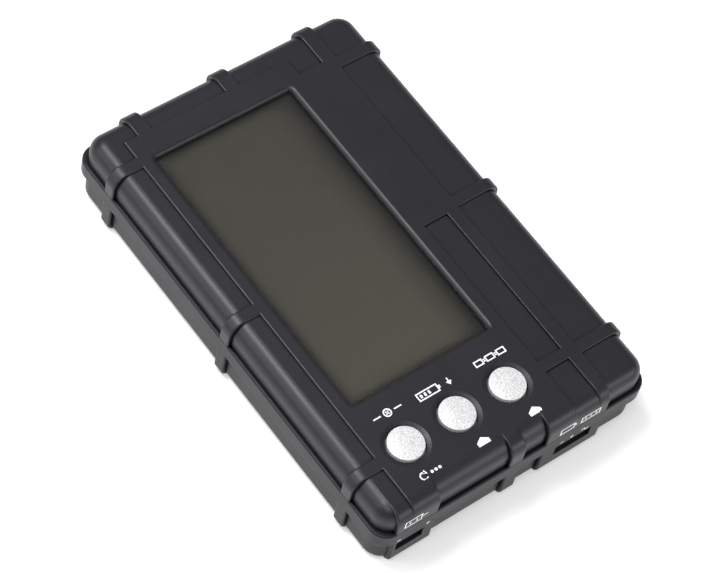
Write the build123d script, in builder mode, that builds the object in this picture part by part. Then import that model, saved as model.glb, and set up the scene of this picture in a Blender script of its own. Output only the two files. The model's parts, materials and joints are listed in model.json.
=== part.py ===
from build123d import *
import os

# A hand-held balancer and cell meter for lithium packs, in millimetres.
# +X is to the user's right, +Y points away from the user, +Z is up.
# The origin is the centre of the underside.

# ---------------------------------------------------------------- driving sizes
# Whole case
body_width = 76.0
body_length = 118.0
body_height = 20.0
corner_radius = 4.5
edge_radius = 3.7
front_edge_radius = 4.5
base_edge_radius = 2.0

# Steps in the outer skin: bands, belt and blocks stand proud of the panels
side_step = 1.0
top_step = 0.5
step_radius = 0.4
rib_overlap = 1.0
belt_top_drop = 7.4
belt_height = 4.4
belt_radius = 0.5
parting_groove = 0.2

# Walls
panel_wall = 2.0
top_wall = 2.0
floor_wall = 1.6
lip_wall = 0.9
lip_height = 1.2
lip_clearance = 0.1

# Recessed panels on the top, measured in from the case edges
left_panel = 7.85
right_panel = 12.3
far_panel = 7.1
far_right_panel = 11.75
far_right_panel_width = 9.7

# Bands that run over the edges
side_band_pitch = 45.4
side_band_width = 3.2
end_band_pitch = 24.4
end_band_width = 4.0
near_band_x = -1.0
block_depth = 10.5

# Two shallow strips to the right of the display
strip_width = 6.5
strip_to_panel = 3.7
strip_gap = 3.0
strip_gap_from_near = 12.4
far_strip_length = 41.7
strip_radius = 0.25

# Port blocks and their openings on the near end
battery_block_width = 11.3
battery_block_from_left = 4.0
battery_port_width = 7.4
battery_port_from_block = 0.9
battery_ways = 2
receiver_block_width = 17.5
receiver_block_from_left = 45.5
receiver_port_width = 10.4
receiver_port_from_block = 3.9
receiver_ways = 3
port_height = 3.4
port_depth = 9.0

# Display
display_opening_width = 37.9
display_opening_length = 75.6
display_from_left = 11.6
display_from_near = 28.2
bezel_radius = 1.2
bezel_corner_radius = 0.8
lens_margin = 1.6
lens_thickness = 1.0
lens_clearance = 0.1
glass_margin = 2.0
glass_thickness = 2.4
glass_gap = 0.3
holder_wall = 1.2
holder_ledge = 1.5
strip_contact_width = 2.5
strip_contact_inset = 2.0

# Buttons
button_diameter = 8.5
button_pitch = 14.1
button_from_left = 29.9
button_from_near = 14.3
button_clearance = 0.35
button_rim_height = 0.45
button_crown = 0.35
button_edge_radius = 0.25
button_travel = 0.3
button_flange = 0.9
button_flange_thickness = 0.7
button_flange_drop = 0.2
button_wall = 1.0
button_post_diameter = 3.0
dish_width = 1.1
dish_depth = 0.3

# Push switches under the buttons
switch_size = 6.0
switch_body_height = 3.2
switch_cover_thickness = 0.3
plunger_diameter = 3.5
plunger_flange_diameter = 4.4
plunger_flange_thickness = 0.75
plunger_clearance = 0.1
plunger_gap = 0.05
dome_thickness = 0.1

# Circuit boards
board_thickness = 1.6
board_clearance = 0.7
main_board_gap = 0.8
display_board_from_top = 7.2
display_board_side_margin = 3.0
display_board_near_margin = 2.3
display_board_far_margin = 0.9

# Side-entry balance sockets on the right wall, 2.5 mm pitch
way_pitch = 2.5
socket_end_length = 4.9
socket_height = 6.1
socket_depth = 7.5
socket_wall = 0.8
socket_gap = 1.2
socket_clearance = 0.1
far_socket_ways = [3, 4, 5]
near_socket_ways = [6, 7]
pin_size = 0.64
pin_recess = 1.8
pin_hole_clearance = 0.1
pin_tail = 0.6
pin_setback = 1.2
socket_back = 1.4

# Board-to-board header
link_ways = 8
link_pitch = 2.54
link_header_height = 2.5
link_header_width = 2.5
link_socket_gap = 0.2
link_from_edge = 1.5
link_from_near = 49.0

# Screws
case_screw_diameter = 2.6
case_screw_head = 4.8
case_screw_head_height = 1.6
case_screw_sink = 0.5
case_screw_bite = 4.5
case_boss_diameter = 6.4
case_hole_clearance = 0.2
main_screw_end = 0.7
case_boss_inset = 6.5
near_left_boss_from_near = 18.0
board_screw_diameter = 1.8
board_screw_head = 3.4
board_screw_head_height = 1.1
board_boss_diameter = 4.2
board_screw_bite = 3.2
display_post_spread = 15.5
display_post_gap = 0.4
main_post_diameter = 5.2
main_post_from_left = 8.5
main_post_from_right = 16.0
main_post_from_ends = 26.0
head_rounding_share = 0.4
cross_share = 0.6
cross_width = 0.7
cross_depth = 0.7

# Parts on the main board
cell_count = 6
transistor_width = 6.6
transistor_length = 6.1
transistor_height = 2.3
transistor_tab = 1.2
transistor_lead_length = 2.6
transistor_lead_width = 0.8
resistor_length = 6.4
resistor_width = 3.2
resistor_height = 0.9
resistor_cap = 0.8
resistor_cap_step = 0.1
cell_pitch = 9.5
chip_size = 10.0
chip_height = 1.2
chip_lead_pitch = 1.6
chip_lead_width = 0.4
chip_lead_length = 1.0
chip_lead_height = 0.5
chip_lead_overlap = 0.2
chip_standoff = 0.1
driver_width = 7.5
driver_length = 15.4
regulator_width = 6.5
regulator_length = 3.5
regulator_height = 1.6
capacitor_diameter = 5.0
capacitor_height = 5.4
cells_from_left = 30.0
cells_from_far = 41.0
controller_from_left = 22.0
controller_from_near = 29.0
regulator_from_left = 38.0
capacitor_from_left = 48.0

# ---------------------------------------------------------------- derived places
left = -body_width / 2
right = body_width / 2
near = -body_length / 2
far = body_length / 2

belt_top = body_height - belt_top_drop
belt_bottom = belt_top - belt_height
panel_top = body_height - top_step
ceiling = body_height - top_wall
side_wall = panel_wall + side_step
cavity_width = body_width - 2 * side_wall
cavity_length = body_length - 2 * side_wall
cavity_corner = corner_radius - side_wall

platform_left = left + left_panel
platform_right = right - right_panel
platform_far = far - far_panel
platform_far_right = far - far_right_panel
platform_corner_x = platform_right - far_right_panel_width

strip_right = platform_right - strip_to_panel
strip_left = strip_right - strip_width
near_strip_end = near + strip_gap_from_near
far_strip_start = near_strip_end + strip_gap
far_strip_end = far_strip_start + far_strip_length

battery_block_left = left + battery_block_from_left
battery_port_x = battery_block_left + battery_port_from_block + battery_port_width / 2
receiver_block_left = left + receiver_block_from_left
receiver_port_x = receiver_block_left + receiver_port_from_block + receiver_port_width / 2

display_x = left + display_from_left + display_opening_width / 2
display_y = near + display_from_near + display_opening_length / 2
lens_bottom = ceiling
glass_top = ceiling - glass_gap
glass_bottom = glass_top - glass_thickness
glass_width = display_opening_width + 2 * glass_margin
glass_length = display_opening_length + 2 * glass_margin
holder_width = glass_width + 2 * holder_wall
holder_length = glass_length + 2 * holder_wall

display_board_bottom = body_height - display_board_from_top - board_thickness
display_board_top = display_board_bottom + board_thickness
display_board_left = display_x - holder_width / 2 - board_clearance / 2
display_board_right = display_x + holder_width / 2 + display_board_side_margin
link_x = display_board_right - link_from_edge
link_y = near + link_from_near
pin_hole_radius = pin_size / 2 * 2**0.5 + pin_hole_clearance / 2
main_board_bottom = floor_wall + main_board_gap
main_board_top = main_board_bottom + board_thickness

button_y = near + button_from_near
button_middle_x = left + button_from_left
button_names = ["left", "middle", "right"]
button_xs = [button_middle_x + step * button_pitch for step in (-1, 0, 1)]
button_radius = button_diameter / 2
button_hole_radius = button_radius + button_clearance
button_flange_top = ceiling - button_flange_drop
button_flange_bottom = button_flange_top - button_flange_thickness
button_rim = body_height + button_rim_height
button_top = button_rim + button_crown

switch_cover_bottom = display_board_top + switch_body_height
plunger_flange_top = switch_cover_bottom - plunger_gap
plunger_flange_bottom = plunger_flange_top - plunger_flange_thickness
dome_height = 2 * button_travel
dome_top = plunger_flange_bottom
dome_bottom = dome_top - dome_height
dome_radius = plunger_flange_diameter / 2 - plunger_clearance
dome_crown_radius = dome_radius / 3

port_bottom = main_board_top + socket_wall
port_face = near + side_wall + socket_clearance
socket_face = right - side_wall - socket_clearance

case_screw_places = [
    (left + case_boss_inset, far - case_boss_inset),
    (right - case_boss_inset, far - case_boss_inset),
    (right - case_boss_inset, near + case_boss_inset),
    (left + case_boss_inset, near + near_left_boss_from_near),
]
display_post_reach = holder_length / 2 + display_post_gap + board_boss_diameter / 2
display_post_far_y = display_y + display_post_reach
display_post_near_y = display_y - display_post_reach
display_post_places = [
    (display_x + side * display_post_spread, y)
    for side in (-1, 1)
    for y in (display_post_near_y, display_post_far_y)
]
display_board_far = display_post_far_y + board_boss_diameter / 2 + display_board_far_margin
display_board_near = button_y - switch_size / 2 - display_board_near_margin
main_post_places = [
    (x, y)
    for x in (left + main_post_from_left, right - main_post_from_right)
    for y in (near + main_post_from_ends, far - main_post_from_ends)
]

cell_x = left + cells_from_left
cell_y = far - cells_from_far
controller_x = left + controller_from_left
controller_y = near + controller_from_near
regulator_x = left + regulator_from_left
capacitor_x = left + capacitor_from_left


os.makedirs("parts", exist_ok=True)


# ---------------------------------------------------------------- helpers
def finish_part(part, name):
    """Label a finished piece and write it as its own STEP file."""
    part.label = name
    export_step(part, "parts/" + name + ".step")


def case_block(width, length, bottom, top, corner, upper_radius, lower_radius):
    """A rounded slab whose upper and lower rims are filleted; a radius of 0 leaves a rim sharp."""
    with BuildPart() as block:
        with BuildSketch(Plane.XY.offset(bottom)):
            RectangleRounded(width, length, corner)
        extrude(amount=top - bottom)
        if upper_radius > 0:
            fillet(block.edges().group_by(Axis.Z)[-1], upper_radius)
        if lower_radius > 0:
            fillet(block.edges().group_by(Axis.Z)[0], lower_radius)
    return block.part


def plan_rectangles(regions):
    """Draw plan rectangles given as (x_low, x_high, y_low, y_high) in the sketch being built."""
    for x_low, x_high, y_low, y_high in regions:
        with Locations(((x_low + x_high) / 2, (y_low + y_high) / 2)):
            Rectangle(x_high - x_low, y_high - y_low)


def span_box(x_span, y_span, z_span, mode=Mode.ADD):
    """A box in the part being built, given by its low and high limits on each axis."""
    centre = [sum(span) / 2 for span in (x_span, y_span, z_span)]
    with Locations(tuple(centre)):
        Box(x_span[1] - x_span[0], y_span[1] - y_span[0], z_span[1] - z_span[0], mode=mode)


def kept_within(shape, regions, bottom, top):
    """The part of a shape inside plan rectangles given as (x_low, x_high, y_low, y_high)."""
    with BuildPart() as kept:
        with BuildSketch(Plane.XY.offset(bottom)):
            plan_rectangles(regions)
        extrude(amount=top - bottom)
        add(shape, mode=Mode.INTERSECT)
    return kept.part


def rounded_ribs(skin, regions, cut_axis, bottom, top):
    """Ribs cut from a skin by plan rectangles, rounded where the skin meets their faces across cut_axis."""
    surface = skin.shell()
    ribs = []
    for region in regions:
        with BuildPart() as rib:
            with BuildSketch(Plane.XY.offset(bottom)):
                plan_rectangles([region])
            extrude(amount=top - bottom)
            add(skin, mode=Mode.INTERSECT)
            outer_edges = [
                edge
                for face in rib.faces().filter_by(cut_axis)
                for edge in face.edges()
                if surface.distance_to(Vertex(*(edge @ 0.5))) < step_radius / 2
            ]
            fillet(outer_edges, step_radius)
        ribs.append(rib.part)
    return ribs


def side_band_regions():
    """Stripes over both long sides, which end a little way under the platform."""
    half = side_band_width / 2
    reach = right + side_step
    regions = []
    for step in (-1, 0, 1):
        y = step * side_band_pitch
        regions.append((-reach, platform_left + rib_overlap, y - half, y + half))
        regions.append((platform_right - rib_overlap, reach, y - half, y + half))
    return regions


def end_band_regions():
    """Stripes over the far end, and the single one over the near end."""
    half = end_band_width / 2
    regions = []
    for step in (-1, 0, 1):
        x = step * end_band_pitch
        regions.append((x - half, x + half, platform_far_right - rib_overlap, far + side_step))
    regions.append((near_band_x - half, near_band_x + half, near - side_step, near + block_depth))
    return regions


def screw(x, y, head_low, head_height, head_diameter, shaft_diameter, shaft_end):
    """A pan-head screw with a cross recess, driven along Z; its head is on the side away from shaft_end."""
    upward = shaft_end > head_low
    with BuildPart() as piece:
        with BuildSketch(Plane.XY.offset(head_low)):
            with Locations((x, y)):
                Circle(head_diameter / 2)
        extrude(amount=head_height)
        outer_rim = piece.edges().group_by(Axis.Z)[0 if upward else -1]
        fillet(outer_rim, head_height * head_rounding_share)
        shaft_start = head_low + head_height if upward else head_low
        with BuildSketch(Plane.XY.offset(shaft_start)):
            with Locations((x, y)):
                Circle(shaft_diameter / 2)
        extrude(amount=shaft_end - shaft_start)
        cut_start = head_low if upward else head_low + head_height - cross_depth
        with BuildSketch(Plane.XY.offset(cut_start)):
            with Locations((x, y)):
                Rectangle(head_diameter * cross_share, cross_width)
                Rectangle(cross_width, head_diameter * cross_share)
        extrude(amount=cross_depth, mode=Mode.SUBTRACT)
    return piece.part


def socket_length(ways):
    """Overall length of a balance socket along the wall."""
    return socket_end_length + way_pitch * (ways - 1)


def segment_centres(ways_list, middle):
    """Centres along Y of sockets set side by side around the middle of a wall segment."""
    total = sum(socket_length(ways) for ways in ways_list) + socket_gap * (len(ways_list) - 1)
    start = middle + total / 2
    centres = []
    for ways in ways_list:
        centres.append(start - socket_length(ways) / 2)
        start -= socket_length(ways) + socket_gap
    return centres


def way_offsets(ways, pitch):
    """Offsets of a row of contacts about its centre."""
    return [(index - (ways - 1) / 2) * pitch for index in range(ways)]


def side_socket(mouth, length, height, depth, ways, pitch):
    """A side-entry socket on a board: local X points out of its mouth, Y runs along its row."""
    with BuildPart(mouth) as housing:
        span_box((-depth, 0), (-length / 2, length / 2), (0, height))
        span_box(
            (-depth + socket_back, 0),
            (-length / 2 + socket_wall, length / 2 - socket_wall),
            (socket_wall, height - socket_wall),
            Mode.SUBTRACT,
        )
        for offset in way_offsets(ways, pitch):
            span_box(
                (-depth, -depth + socket_back),
                (offset - pin_size / 2, offset + pin_size / 2),
                (height / 2 - pin_size / 2, height / 2 + pin_size / 2),
                Mode.SUBTRACT,
            )
    return housing.part


def side_pins(mouth, height, depth, ways, pitch):
    """The bent pins of a side-entry socket, from just inside its mouth down through the board."""
    with BuildPart(mouth) as pins:
        for offset in way_offsets(ways, pitch):
            y_span = (offset - pin_size / 2, offset + pin_size / 2)
            back = -depth - pin_setback
            span_box(
                (back, -pin_recess), y_span, (height / 2 - pin_size / 2, height / 2 + pin_size / 2)
            )
            span_box((back, back + pin_size), y_span, (-board_thickness - pin_tail, height / 2))
    return pins.part


def chip(x, y, base, direction, width, length, height):
    """A flat chip with leads along both long sides; direction is 1 on a board's top, -1 under it."""
    with BuildPart() as package:
        z_span = sorted((base + direction * chip_standoff, base + direction * (chip_standoff + height)))
        span_box((x - width / 2, x + width / 2), (y - length / 2, y + length / 2), z_span)
        lead_span = sorted((base, base + direction * chip_lead_height))
        lead_count = int(length / chip_lead_pitch)
        lead_start = width / 2 - chip_lead_overlap
        lead_end = width / 2 + chip_lead_length
        for offset in way_offsets(lead_count, chip_lead_pitch):
            for side in (-1, 1):
                lead_x = sorted((x + side * lead_start, x + side * lead_end))
                span_box(
                    lead_x,
                    (y + offset - chip_lead_width / 2, y + offset + chip_lead_width / 2),
                    lead_span,
                )
    return package.part


# ---------------------------------------------------------------- places of sockets and of board holes
segment_middle = side_band_pitch / 2
balance_sockets = list(zip(far_socket_ways, segment_centres(far_socket_ways, segment_middle)))
balance_sockets += list(zip(near_socket_ways, segment_centres(near_socket_ways, -segment_middle)))
balance_pin_x = socket_face - socket_depth - pin_setback + pin_size / 2
port_pin_y = port_face + port_depth + pin_setback - pin_size / 2
main_board_holes = [
    (balance_pin_x, y + offset)
    for ways, y in balance_sockets
    for offset in way_offsets(ways, way_pitch)
]
for x, ways in ((battery_port_x, battery_ways), (receiver_port_x, receiver_ways)):
    main_board_holes += [(x + offset, port_pin_y) for offset in way_offsets(ways, link_pitch)]
link_places = [(link_x, link_y + offset) for offset in way_offsets(link_ways, link_pitch)]

# ---------------------------------------------------------------- outer skins shared by both shells
full_skin = case_block(
    body_width, body_length, 0, body_height, corner_radius, edge_radius, base_edge_radius
)
low_skin = case_block(
    body_width, body_length, 0, panel_top, corner_radius, edge_radius, base_edge_radius
)
panel_skin = case_block(
    body_width - 2 * side_step,
    body_length - 2 * side_step,
    0,
    panel_top,
    corner_radius,
    edge_radius,
    base_edge_radius,
)
platform_skin = case_block(
    body_width - 2 * side_step,
    body_length - 2 * side_step,
    0,
    body_height,
    front_edge_radius + side_step,
    front_edge_radius,
    base_edge_radius,
)
cavity_skin = case_block(cavity_width, cavity_length, floor_wall, ceiling, cavity_corner, 0, 0)

# ---------------------------------------------------------------- regions of the outer skin
platform_regions = [
    (platform_left, platform_corner_x, near, platform_far),
    (platform_corner_x, platform_right, near, platform_far_right),
]
strip_regions = [
    (strip_left, strip_right, near - side_step, near_strip_end),
    (strip_left, strip_right, far_strip_start, far_strip_end),
]
block_low = near - side_step
block_high = near + block_depth
battery_block_right = battery_block_left + battery_block_width
receiver_block_right = receiver_block_left + receiver_block_width
raised_block_regions = [
    (platform_left, battery_block_right, block_low, block_high),
    (receiver_block_left, strip_left, block_low, block_high),
    (strip_right, receiver_block_right, block_low, block_high),
]
whole_block_regions = [
    (battery_block_left, battery_block_right, block_low, block_high),
    (receiver_block_left, receiver_block_right, block_low, block_high),
]

upper_ribs = rounded_ribs(full_skin, side_band_regions(), Axis.Y, belt_top, body_height)
upper_ribs += rounded_ribs(full_skin, end_band_regions(), Axis.X, belt_top, body_height)
upper_ribs += rounded_ribs(full_skin, raised_block_regions, Axis.X, belt_top, body_height)
upper_ribs += rounded_ribs(low_skin, whole_block_regions, Axis.X, belt_top, panel_top)
lower_ribs = rounded_ribs(full_skin, side_band_regions(), Axis.Y, 0, belt_top)
lower_ribs += rounded_ribs(full_skin, end_band_regions() + whole_block_regions, Axis.X, 0, belt_top)
upper_panels = kept_within(panel_skin, [(left, right, near, far)], belt_top, body_height)
lower_panels = kept_within(panel_skin, [(left, right, near, far)], 0, belt_top)
belt = case_block(
    body_width, body_length, belt_bottom, belt_top, corner_radius, belt_radius, belt_radius
)

# Raised platform on the top, with the two strips sunk into it
whole_platform = kept_within(platform_skin, platform_regions, belt_top, body_height)
with BuildPart() as platform:
    add(whole_platform)
    rim = platform.faces().sort_by(Axis.Z)[-1].outer_wire().edges()
    fillet(rim.sort_by(Axis.Y)[1:], step_radius)
    with BuildSketch(Plane.XY.offset(panel_top)):
        plan_rectangles(strip_regions)
    extrude(amount=top_step, mode=Mode.SUBTRACT)
    fillet(platform.edges(Select.LAST).group_by(Axis.Z)[-1], strip_radius)

# ---------------------------------------------------------------- top case
with BuildPart() as top_case:
    add(upper_panels)
    add(platform.part)
    with BuildSketch(Plane.XY.offset(ceiling)):
        with Locations((display_x, display_y)):
            RectangleRounded(
                display_opening_width, display_opening_length, bezel_corner_radius
            )
    extrude(amount=top_wall, mode=Mode.SUBTRACT)
    fillet(top_case.edges(Select.LAST).group_by(Axis.Z)[-1], bezel_radius)
    add(upper_ribs)
    add(cavity_skin, mode=Mode.SUBTRACT)
    # Shallow groove round the ribs where the two shells meet
    with BuildSketch(Plane.XY.offset(belt_top)):
        Rectangle(body_width + side_step, body_length + side_step)
        RectangleRounded(
            body_width - 2 * parting_groove,
            body_length - 2 * parting_groove,
            corner_radius - parting_groove,
            mode=Mode.SUBTRACT,
        )
    extrude(amount=parting_groove, mode=Mode.SUBTRACT)
    # Lens pocket, open to the inside
    with BuildSketch(Plane.XY.offset(lens_bottom)):
        with Locations((display_x, display_y)):
            Rectangle(
                display_opening_width + 2 * lens_margin,
                display_opening_length + 2 * lens_margin,
            )
    extrude(amount=lens_thickness, mode=Mode.SUBTRACT)
    # Button holes, each in a shallow dish
    with Locations([(x, button_y, body_height) for x in button_xs]):
        Cone(
            button_hole_radius,
            button_hole_radius + dish_width,
            dish_depth,
            align=(Align.CENTER, Align.CENTER, Align.MAX),
            mode=Mode.SUBTRACT,
        )
    with BuildSketch(Plane.XY.offset(ceiling)):
        with Locations([(x, button_y) for x in button_xs]):
            Circle(button_hole_radius)
    extrude(amount=top_wall, mode=Mode.SUBTRACT)
    # Lip that locates the two shells
    with BuildSketch(Plane.XY.offset(belt_top - lip_height)):
        lip_width = cavity_width + 2 * (lip_wall - lip_clearance)
        lip_length = cavity_length + 2 * (lip_wall - lip_clearance)
        RectangleRounded(lip_width, lip_length, cavity_corner + lip_wall - lip_clearance)
        RectangleRounded(cavity_width, cavity_length, cavity_corner, mode=Mode.SUBTRACT)
    extrude(amount=lip_height)
    # Screw bosses that meet the lower shell, and posts for the display board
    with BuildSketch(Plane.XY.offset(belt_top)):
        with Locations(case_screw_places):
            Circle(case_boss_diameter / 2)
    extrude(amount=ceiling - belt_top)
    with BuildSketch(Plane.XY.offset(belt_top)):
        with Locations(case_screw_places):
            Circle(case_screw_diameter / 2)
    extrude(amount=case_screw_bite, mode=Mode.SUBTRACT)
    with BuildSketch(Plane.XY.offset(display_board_top)):
        with Locations(display_post_places):
            Circle(board_boss_diameter / 2)
    extrude(amount=ceiling - display_board_top)
    with BuildSketch(Plane.XY.offset(display_board_top)):
        with Locations(display_post_places):
            Circle(board_screw_diameter / 2)
    extrude(amount=board_screw_bite, mode=Mode.SUBTRACT)
finish_part(top_case.part, "top_case")

# ---------------------------------------------------------------- bottom case
with BuildPart() as bottom_case:
    add(lower_panels)
    add(lower_ribs)
    add(belt)
    add(cavity_skin, mode=Mode.SUBTRACT)
    # Rebate for the lip of the upper shell
    with BuildSketch(Plane.XY.offset(belt_top - lip_height - lip_clearance)):
        RectangleRounded(
            cavity_width + 2 * lip_wall, cavity_length + 2 * lip_wall, cavity_corner + lip_wall
        )
    extrude(amount=lip_height + lip_clearance, mode=Mode.SUBTRACT)
    # Screw bosses and the posts under the main board
    with BuildSketch(Plane.XY.offset(floor_wall)):
        with Locations(case_screw_places):
            Circle(case_boss_diameter / 2)
    extrude(amount=belt_top - floor_wall)
    with BuildSketch(Plane.XY.offset(floor_wall)):
        with Locations(main_post_places):
            Circle(main_post_diameter / 2)
    extrude(amount=main_board_gap)
    with BuildSketch(Plane.XY):
        with Locations(case_screw_places):
            Circle(case_screw_head / 2 + case_hole_clearance)
    extrude(amount=case_screw_sink + case_screw_head_height, mode=Mode.SUBTRACT)
    with BuildSketch(Plane.XY):
        with Locations(case_screw_places):
            Circle(case_screw_diameter / 2 + case_hole_clearance)
    extrude(amount=belt_top, mode=Mode.SUBTRACT)
    with BuildSketch(Plane.XY.offset(main_screw_end)):
        with Locations(main_post_places):
            Circle(board_screw_diameter / 2)
    extrude(amount=main_board_bottom - main_screw_end, mode=Mode.SUBTRACT)
    # Windows for the balance sockets in the right wall
    for ways, y in balance_sockets:
        half_length = socket_length(ways) / 2 - socket_wall
        span_box(
            (right - side_wall - side_step, right + side_step),
            (y - half_length, y + half_length),
            (main_board_top + socket_wall, main_board_top + socket_height - socket_wall),
            Mode.SUBTRACT,
        )
    # Windows for the two ports in the near wall
    for x, width in ((battery_port_x, battery_port_width), (receiver_port_x, receiver_port_width)):
        span_box(
            (x - width / 2, x + width / 2),
            (near - side_step, near + side_wall + side_step),
            (port_bottom, port_bottom + port_height),
            Mode.SUBTRACT,
        )
finish_part(bottom_case.part, "bottom_case")

# ---------------------------------------------------------------- display
with BuildPart() as lcd_window:
    with BuildSketch(Plane.XY.offset(lens_bottom)):
        with Locations((display_x, display_y)):
            Rectangle(
                display_opening_width + 2 * (lens_margin - lens_clearance),
                display_opening_length + 2 * (lens_margin - lens_clearance),
            )
    extrude(amount=lens_thickness)
finish_part(lcd_window.part, "lcd_window")

with BuildPart() as lcd_glass:
    with BuildSketch(Plane.XY.offset(glass_bottom)):
        with Locations((display_x, display_y)):
            Rectangle(glass_width, glass_length)
    extrude(amount=glass_thickness)
finish_part(lcd_glass.part, "lcd_glass")

with BuildPart() as lcd_holder:
    with BuildSketch(Plane.XY.offset(display_board_top)):
        with Locations((display_x, display_y)):
            Rectangle(holder_width, holder_length)
            Rectangle(glass_width - 2 * holder_ledge, glass_length, mode=Mode.SUBTRACT)
    extrude(amount=glass_top - display_board_top)
    with BuildSketch(Plane.XY.offset(glass_bottom)):
        with Locations((display_x, display_y)):
            Rectangle(glass_width, glass_length)
    extrude(amount=glass_thickness, mode=Mode.SUBTRACT)
finish_part(lcd_holder.part, "lcd_holder")

contact_offset = glass_length / 2 - strip_contact_inset - strip_contact_width / 2
for end_name, direction in (("far", 1), ("near", -1)):
    with BuildPart() as zebra_strip:
        with BuildSketch(Plane.XY.offset(display_board_top)):
            with Locations((display_x, display_y + direction * contact_offset)):
                Rectangle(glass_width - 2 * holder_ledge - strip_contact_inset, strip_contact_width)
        extrude(amount=glass_bottom - display_board_top)
    finish_part(zebra_strip.part, "zebra_strip_" + end_name)

# ---------------------------------------------------------------- buttons and their switches
for name, x in zip(button_names, button_xs):
    axis_plane = Plane(origin=(x, button_y, 0), x_dir=(1, 0, 0), z_dir=(0, -1, 0))
    with BuildPart() as button_cap:
        with BuildSketch(axis_plane):
            with BuildLine():
                TangentArc((0, button_top), (button_radius, button_rim), tangent=(1, 0))
                Polyline(
                    (0, button_top),
                    (0, button_flange_bottom),
                    (button_post_diameter / 2, button_flange_bottom),
                    (button_post_diameter / 2, body_height - button_wall),
                    (button_radius - button_wall, body_height - button_wall),
                    (button_radius - button_wall, button_flange_bottom),
                    (button_radius + button_flange, button_flange_bottom),
                    (button_radius + button_flange, button_flange_top),
                    (button_radius, button_flange_top),
                    (button_radius, button_rim),
                )
            make_face()
        revolve(axis=Axis((x, button_y, 0), (0, 0, 1)))
        outer_circles = [
            edge
            for edge in button_cap.edges().filter_by(GeomType.CIRCLE)
            if abs(edge.radius - button_radius) < button_edge_radius
        ]
        fillet(ShapeList(outer_circles).sort_by(Axis.Z)[-1], button_edge_radius)
    finish_part(button_cap.part, "button_cap_" + name)

    with BuildPart() as switch_body:
        with BuildSketch(Plane.XY.offset(display_board_top)):
            with Locations((x, button_y)):
                RectangleRounded(switch_size, switch_size, switch_cover_thickness)
        extrude(amount=switch_body_height)
        with BuildSketch(Plane.XY.offset(dome_bottom)):
            with Locations((x, button_y)):
                Circle(plunger_flange_diameter / 2 + plunger_clearance)
        extrude(amount=switch_cover_bottom - dome_bottom, mode=Mode.SUBTRACT)
    finish_part(switch_body.part, "switch_body_" + name)

    with BuildPart() as switch_cover:
        with BuildSketch(Plane.XY.offset(switch_cover_bottom)):
            with Locations((x, button_y)):
                RectangleRounded(switch_size, switch_size, switch_cover_thickness)
                Circle(plunger_diameter / 2 + plunger_clearance, mode=Mode.SUBTRACT)
        extrude(amount=switch_cover_thickness)
    finish_part(switch_cover.part, "switch_cover_" + name)

    with BuildPart() as switch_plunger:
        with BuildSketch(Plane.XY.offset(plunger_flange_bottom)):
            with Locations((x, button_y)):
                Circle(plunger_flange_diameter / 2)
        extrude(amount=plunger_flange_top - plunger_flange_bottom)
        with BuildSketch(Plane.XY.offset(plunger_flange_top)):
            with Locations((x, button_y)):
                Circle(plunger_diameter / 2)
        extrude(amount=button_flange_bottom - plunger_flange_top)
    finish_part(switch_plunger.part, "switch_plunger_" + name)

    with BuildPart() as switch_dome:
        with BuildSketch(axis_plane):
            with BuildLine():
                Polyline(
                    (0, dome_top),
                    (dome_crown_radius, dome_top),
                    (dome_radius, dome_bottom),
                    (dome_radius - 2 * dome_thickness, dome_bottom),
                    (dome_crown_radius - dome_thickness, dome_top - dome_thickness),
                    (0, dome_top - dome_thickness),
                    close=True,
                )
            make_face()
        revolve(axis=Axis((x, button_y, 0), (0, 0, 1)))
    finish_part(switch_dome.part, "switch_dome_" + name)

# ---------------------------------------------------------------- display board
with BuildPart() as display_board:
    with BuildSketch(Plane.XY.offset(display_board_bottom)):
        plan_rectangles([(display_board_left, display_board_right, display_board_near, display_board_far)])
        with Locations(case_screw_places):
            Circle(case_boss_diameter / 2 + board_clearance, mode=Mode.SUBTRACT)
        with Locations(display_post_places):
            Circle(board_screw_diameter / 2 + case_hole_clearance, mode=Mode.SUBTRACT)
        with Locations(link_places):
            Circle(pin_hole_radius, mode=Mode.SUBTRACT)
    extrude(amount=board_thickness)
finish_part(display_board.part, "display_board")

display_screws = [
    screw(
        x,
        y,
        display_board_bottom - board_screw_head_height,
        board_screw_head_height,
        board_screw_head,
        board_screw_diameter,
        display_board_top + board_screw_bite,
    )
    for x, y in display_post_places
]
finish_part(Compound(children=display_screws), "display_board_screws")

driver_chip = chip(
    display_x,
    display_y,
    display_board_bottom,
    -1,
    driver_width,
    driver_length,
    chip_height,
)
finish_part(driver_chip, "display_driver")

# ---------------------------------------------------------------- main board
with BuildPart() as main_board:
    with BuildSketch(Plane.XY.offset(main_board_bottom)):
        RectangleRounded(
            cavity_width - 2 * board_clearance,
            cavity_length - 2 * board_clearance,
            cavity_corner - board_clearance,
        )
        with Locations(case_screw_places):
            Circle(case_boss_diameter / 2 + board_clearance, mode=Mode.SUBTRACT)
        with Locations(main_post_places):
            Circle(board_screw_diameter / 2 + case_hole_clearance, mode=Mode.SUBTRACT)
        with Locations(main_board_holes):
            Circle(pin_hole_radius, mode=Mode.SUBTRACT)
    extrude(amount=board_thickness)
finish_part(main_board.part, "main_board")

main_screws = [
    screw(
        x,
        y,
        main_board_top,
        board_screw_head_height,
        board_screw_head,
        board_screw_diameter,
        main_screw_end,
    )
    for x, y in main_post_places
]
finish_part(Compound(children=main_screws), "main_board_screws")

case_screws = [
    screw(
        x,
        y,
        case_screw_sink,
        case_screw_head_height,
        case_screw_head,
        case_screw_diameter,
        belt_top + case_screw_bite,
    )
    for x, y in case_screw_places
]
finish_part(Compound(children=case_screws), "case_screws")

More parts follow.
